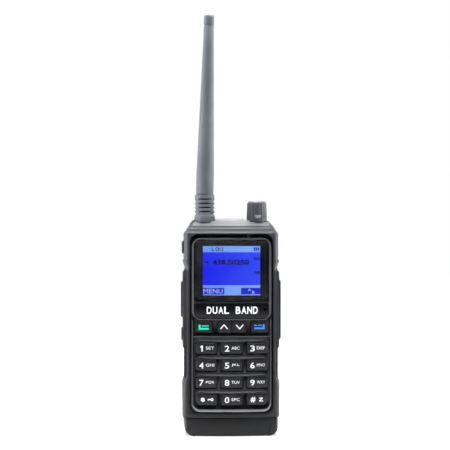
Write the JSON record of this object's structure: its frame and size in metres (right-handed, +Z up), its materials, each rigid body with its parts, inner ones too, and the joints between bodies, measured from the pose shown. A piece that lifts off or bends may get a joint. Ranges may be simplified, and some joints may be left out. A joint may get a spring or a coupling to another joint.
{
  "type": "two way radio",
  "caption": "Handheld two way radio with whip antenna, volume knob, backlit display, rubber keypad, push-to-talk side key, removable battery and belt clip.",
  "frame": {"origin": "middle of the flat foot that the radio stands on", "axes": "+Z up along the antenna, +X right seen from the front, -Y out of the front"},
  "size_m": [0.0574, 0.0446, 0.2421],
  "materials": {
    "case_plastic": "fine textured dark grey ABS",
    "panel_plastic": "satin black moulded panel",
    "key_rubber": "black rubber keys with printed legends",
    "glass": "clear tinted window",
    "screen": "backlit blue display",
    "nameplate": "black inlay plate",
    "lamp": "clear light pipe",
    "circuit_board": "green solder mask",
    "steel": "plated steel",
    "brass": "gold plated brass",
    "paper": "pressed paper cone",
    "die_cast": "black painted die-cast aluminium",
    "antenna_rubber": "matte dark grey moulded rubber",
    "knob_plastic": "textured dark grey plastic",
    "cover_rubber": "soft dark rubber",
    "cell_wrap": "shrink wrapped cell",
    "legend_white": "white screen print",
    "legend_green": "green screen print",
    "legend_blue": "blue screen print",
    "plate_letters": "raised bright letters",
    "screen_ink": "dark display figures"
  },
  "bodies": {
    "radio": {"front_case": "case_plastic", "front_panel": "panel_plastic", "lcd_lens": "glass", "lcd_module": "screen", "nameplate": "nameplate", "status_led": "lamp", "microphone": "steel", "keypad_mat": "key_rubber", "main_board": "circuit_board", "rf_shield": "steel", "speaker_frame": "steel", "speaker_cone": "paper", "speaker_magnet": "steel", "side_switch_board": "circuit_board", "speaker_jack": "steel", "mic_jack": "steel", "volume_control": "steel", "antenna_socket": "brass", "rear_frame": "die_cast", "case_screw_left": "steel", "case_screw_right": "steel", "clip_screw_left": "steel", "clip_screw_right": "steel", "clip_base": "steel", "clip_pin": "steel", "clip_spring": "steel"},
    "volume_knob": {"volume_knob": "knob_plastic", "volume_shaft": "steel"},
    "antenna": {"antenna_connector": "brass", "antenna_sleeve": "antenna_rubber", "antenna_whip": "antenna_rubber", "antenna_tip": "antenna_rubber"},
    "ptt_button": {"ptt_button": "cover_rubber"},
    "side_key_upper": {"side_key_upper": "cover_rubber"},
    "side_key_lower": {"side_key_lower": "cover_rubber"},
    "jack_cover": {"jack_cover": "cover_rubber"},
    "battery_latch": {"battery_latch": "case_plastic"},
    "belt_clip": {"belt_clip": "case_plastic"},
    "battery": {"battery_case": "case_plastic", "battery_cover": "case_plastic", "battery_cell_left": "cell_wrap", "battery_cell_right": "cell_wrap", "battery_contact_minus": "brass", "battery_contact_plus": "brass"},
    "key_1": {"key_1": "key_rubber"},
    "key_2": {"key_2": "key_rubber"},
    "key_3": {"key_3": "key_rubber"},
    "key_4": {"key_4": "key_rubber"},
    "key_5": {"key_5": "key_rubber"},
    "key_6": {"key_6": "key_rubber"},
    "key_7": {"key_7": "key_rubber"},
    "key_8": {"key_8": "key_rubber"},
    "key_9": {"key_9": "key_rubber"},
    "key_star": {"key_star": "key_rubber"},
    "key_0": {"key_0": "key_rubber"},
    "key_hash": {"key_hash": "key_rubber"},
    "key_menu": {"key_menu": "key_rubber"},
    "key_up": {"key_up": "key_rubber"},
    "key_down": {"key_down": "key_rubber"},
    "key_exit": {"key_exit": "key_rubber"}
  },
  "joints": [
    {"name": "key_1_press", "type": "slide", "parent": "radio", "child": "key_1", "axis": [0, 1, 0], "range_m": [0, 0.0005], "stiffness_N_per_m": 400},
    {"name": "key_2_press", "type": "slide", "parent": "radio", "child": "key_2", "axis": [0, 1, 0], "range_m": [0, 0.0005], "stiffness_N_per_m": 400},
    {"name": "key_3_press", "type": "slide", "parent": "radio", "child": "key_3", "axis": [0, 1, 0], "range_m": [0, 0.0005], "stiffness_N_per_m": 400},
    {"name": "key_4_press", "type": "slide", "parent": "radio", "child": "key_4", "axis": [0, 1, 0], "range_m": [0, 0.0005], "stiffness_N_per_m": 400},
    {"name": "key_5_press", "type": "slide", "parent": "radio", "child": "key_5", "axis": [0, 1, 0], "range_m": [0, 0.0005], "stiffness_N_per_m": 400},
    {"name": "key_6_press", "type": "slide", "parent": "radio", "child": "key_6", "axis": [0, 1, 0], "range_m": [0, 0.0005], "stiffness_N_per_m": 400},
    {"name": "key_7_press", "type": "slide", "parent": "radio", "child": "key_7", "axis": [0, 1, 0], "range_m": [0, 0.0005], "stiffness_N_per_m": 400},
    {"name": "key_8_press", "type": "slide", "parent": "radio", "child": "key_8", "axis": [0, 1, 0], "range_m": [0, 0.0005], "stiffness_N_per_m": 400},
    {"name": "key_9_press", "type": "slide", "parent": "radio", "child": "key_9", "axis": [0, 1, 0], "range_m": [0, 0.0005], "stiffness_N_per_m": 400},
    {"name": "key_star_press", "type": "slide", "parent": "radio", "child": "key_star", "axis": [0, 1, 0], "range_m": [0, 0.0005], "stiffness_N_per_m": 400},
    {"name": "key_0_press", "type": "slide", "parent": "radio", "child": "key_0", "axis": [0, 1, 0], "range_m": [0, 0.0005], "stiffness_N_per_m": 400},
    {"name": "key_hash_press", "type": "slide", "parent": "radio", "child": "key_hash", "axis": [0, 1, 0], "range_m": [0, 0.0005], "stiffness_N_per_m": 400},
    {"name": "key_menu_press", "type": "slide", "parent": "radio", "child": "key_menu", "axis": [0, 1, 0], "range_m": [0, 0.0005], "stiffness_N_per_m": 400},
    {"name": "key_up_press", "type": "slide", "parent": "radio", "child": "key_up", "axis": [0, 1, 0], "range_m": [0, 0.0005], "stiffness_N_per_m": 400},
    {"name": "key_down_press", "type": "slide", "parent": "radio", "child": "key_down", "axis": [0, 1, 0], "range_m": [0, 0.0005], "stiffness_N_per_m": 400},
    {"name": "key_exit_press", "type": "slide", "parent": "radio", "child": "key_exit", "axis": [0, 1, 0], "range_m": [0, 0.0005], "stiffness_N_per_m": 400},
    {"name": "ptt_press", "type": "slide", "parent": "radio", "child": "ptt_button", "axis": [1, 0, 0], "range_m": [0, 0.001], "stiffness_N_per_m": 800},
    {"name": "side_key_upper_press", "type": "slide", "parent": "radio", "child": "side_key_upper", "axis": [1, 0, 0], "range_m": [0, 0.0007], "stiffness_N_per_m": 600},
    {"name": "side_key_lower_press", "type": "slide", "parent": "radio", "child": "side_key_lower", "axis": [1, 0, 0], "range_m": [0, 0.0008], "stiffness_N_per_m": 600},
    {"name": "volume_turn", "type": "hinge", "parent": "radio", "child": "volume_knob", "pos_m": [0.015, -0.0055, 0.128], "axis": [0, 0, 1], "range_deg": [-150, 150]},
    {"name": "antenna_turn", "type": "hinge", "parent": "radio", "child": "antenna", "pos_m": [-0.015, -0.0055, 0.125], "axis": [0, 0, 1], "continuous": true},
    {"name": "jack_cover_open", "type": "hinge", "parent": "radio", "child": "jack_cover", "pos_m": [0.02866, 0.0002, 0.07215], "axis": [0, 0, 1], "range_deg": [0, 100]},
    {"name": "battery_latch_press", "type": "slide", "parent": "radio", "child": "battery_latch", "axis": [0, -1, 0], "range_m": [0, 0.0015], "stiffness_N_per_m": 500},
    {"name": "battery_slide", "type": "slide", "parent": "radio", "child": "battery", "axis": [0, 0, -1], "range_m": [0, 0.012]},
    {"name": "belt_clip_open", "type": "hinge", "parent": "radio", "child": "belt_clip", "pos_m": [0, 0.0234, 0.113], "axis": [1, 0, 0], "range_deg": [0, 18], "stiffness_Nm_per_rad": 0.3, "springref_deg": -5.73}
  ]
}
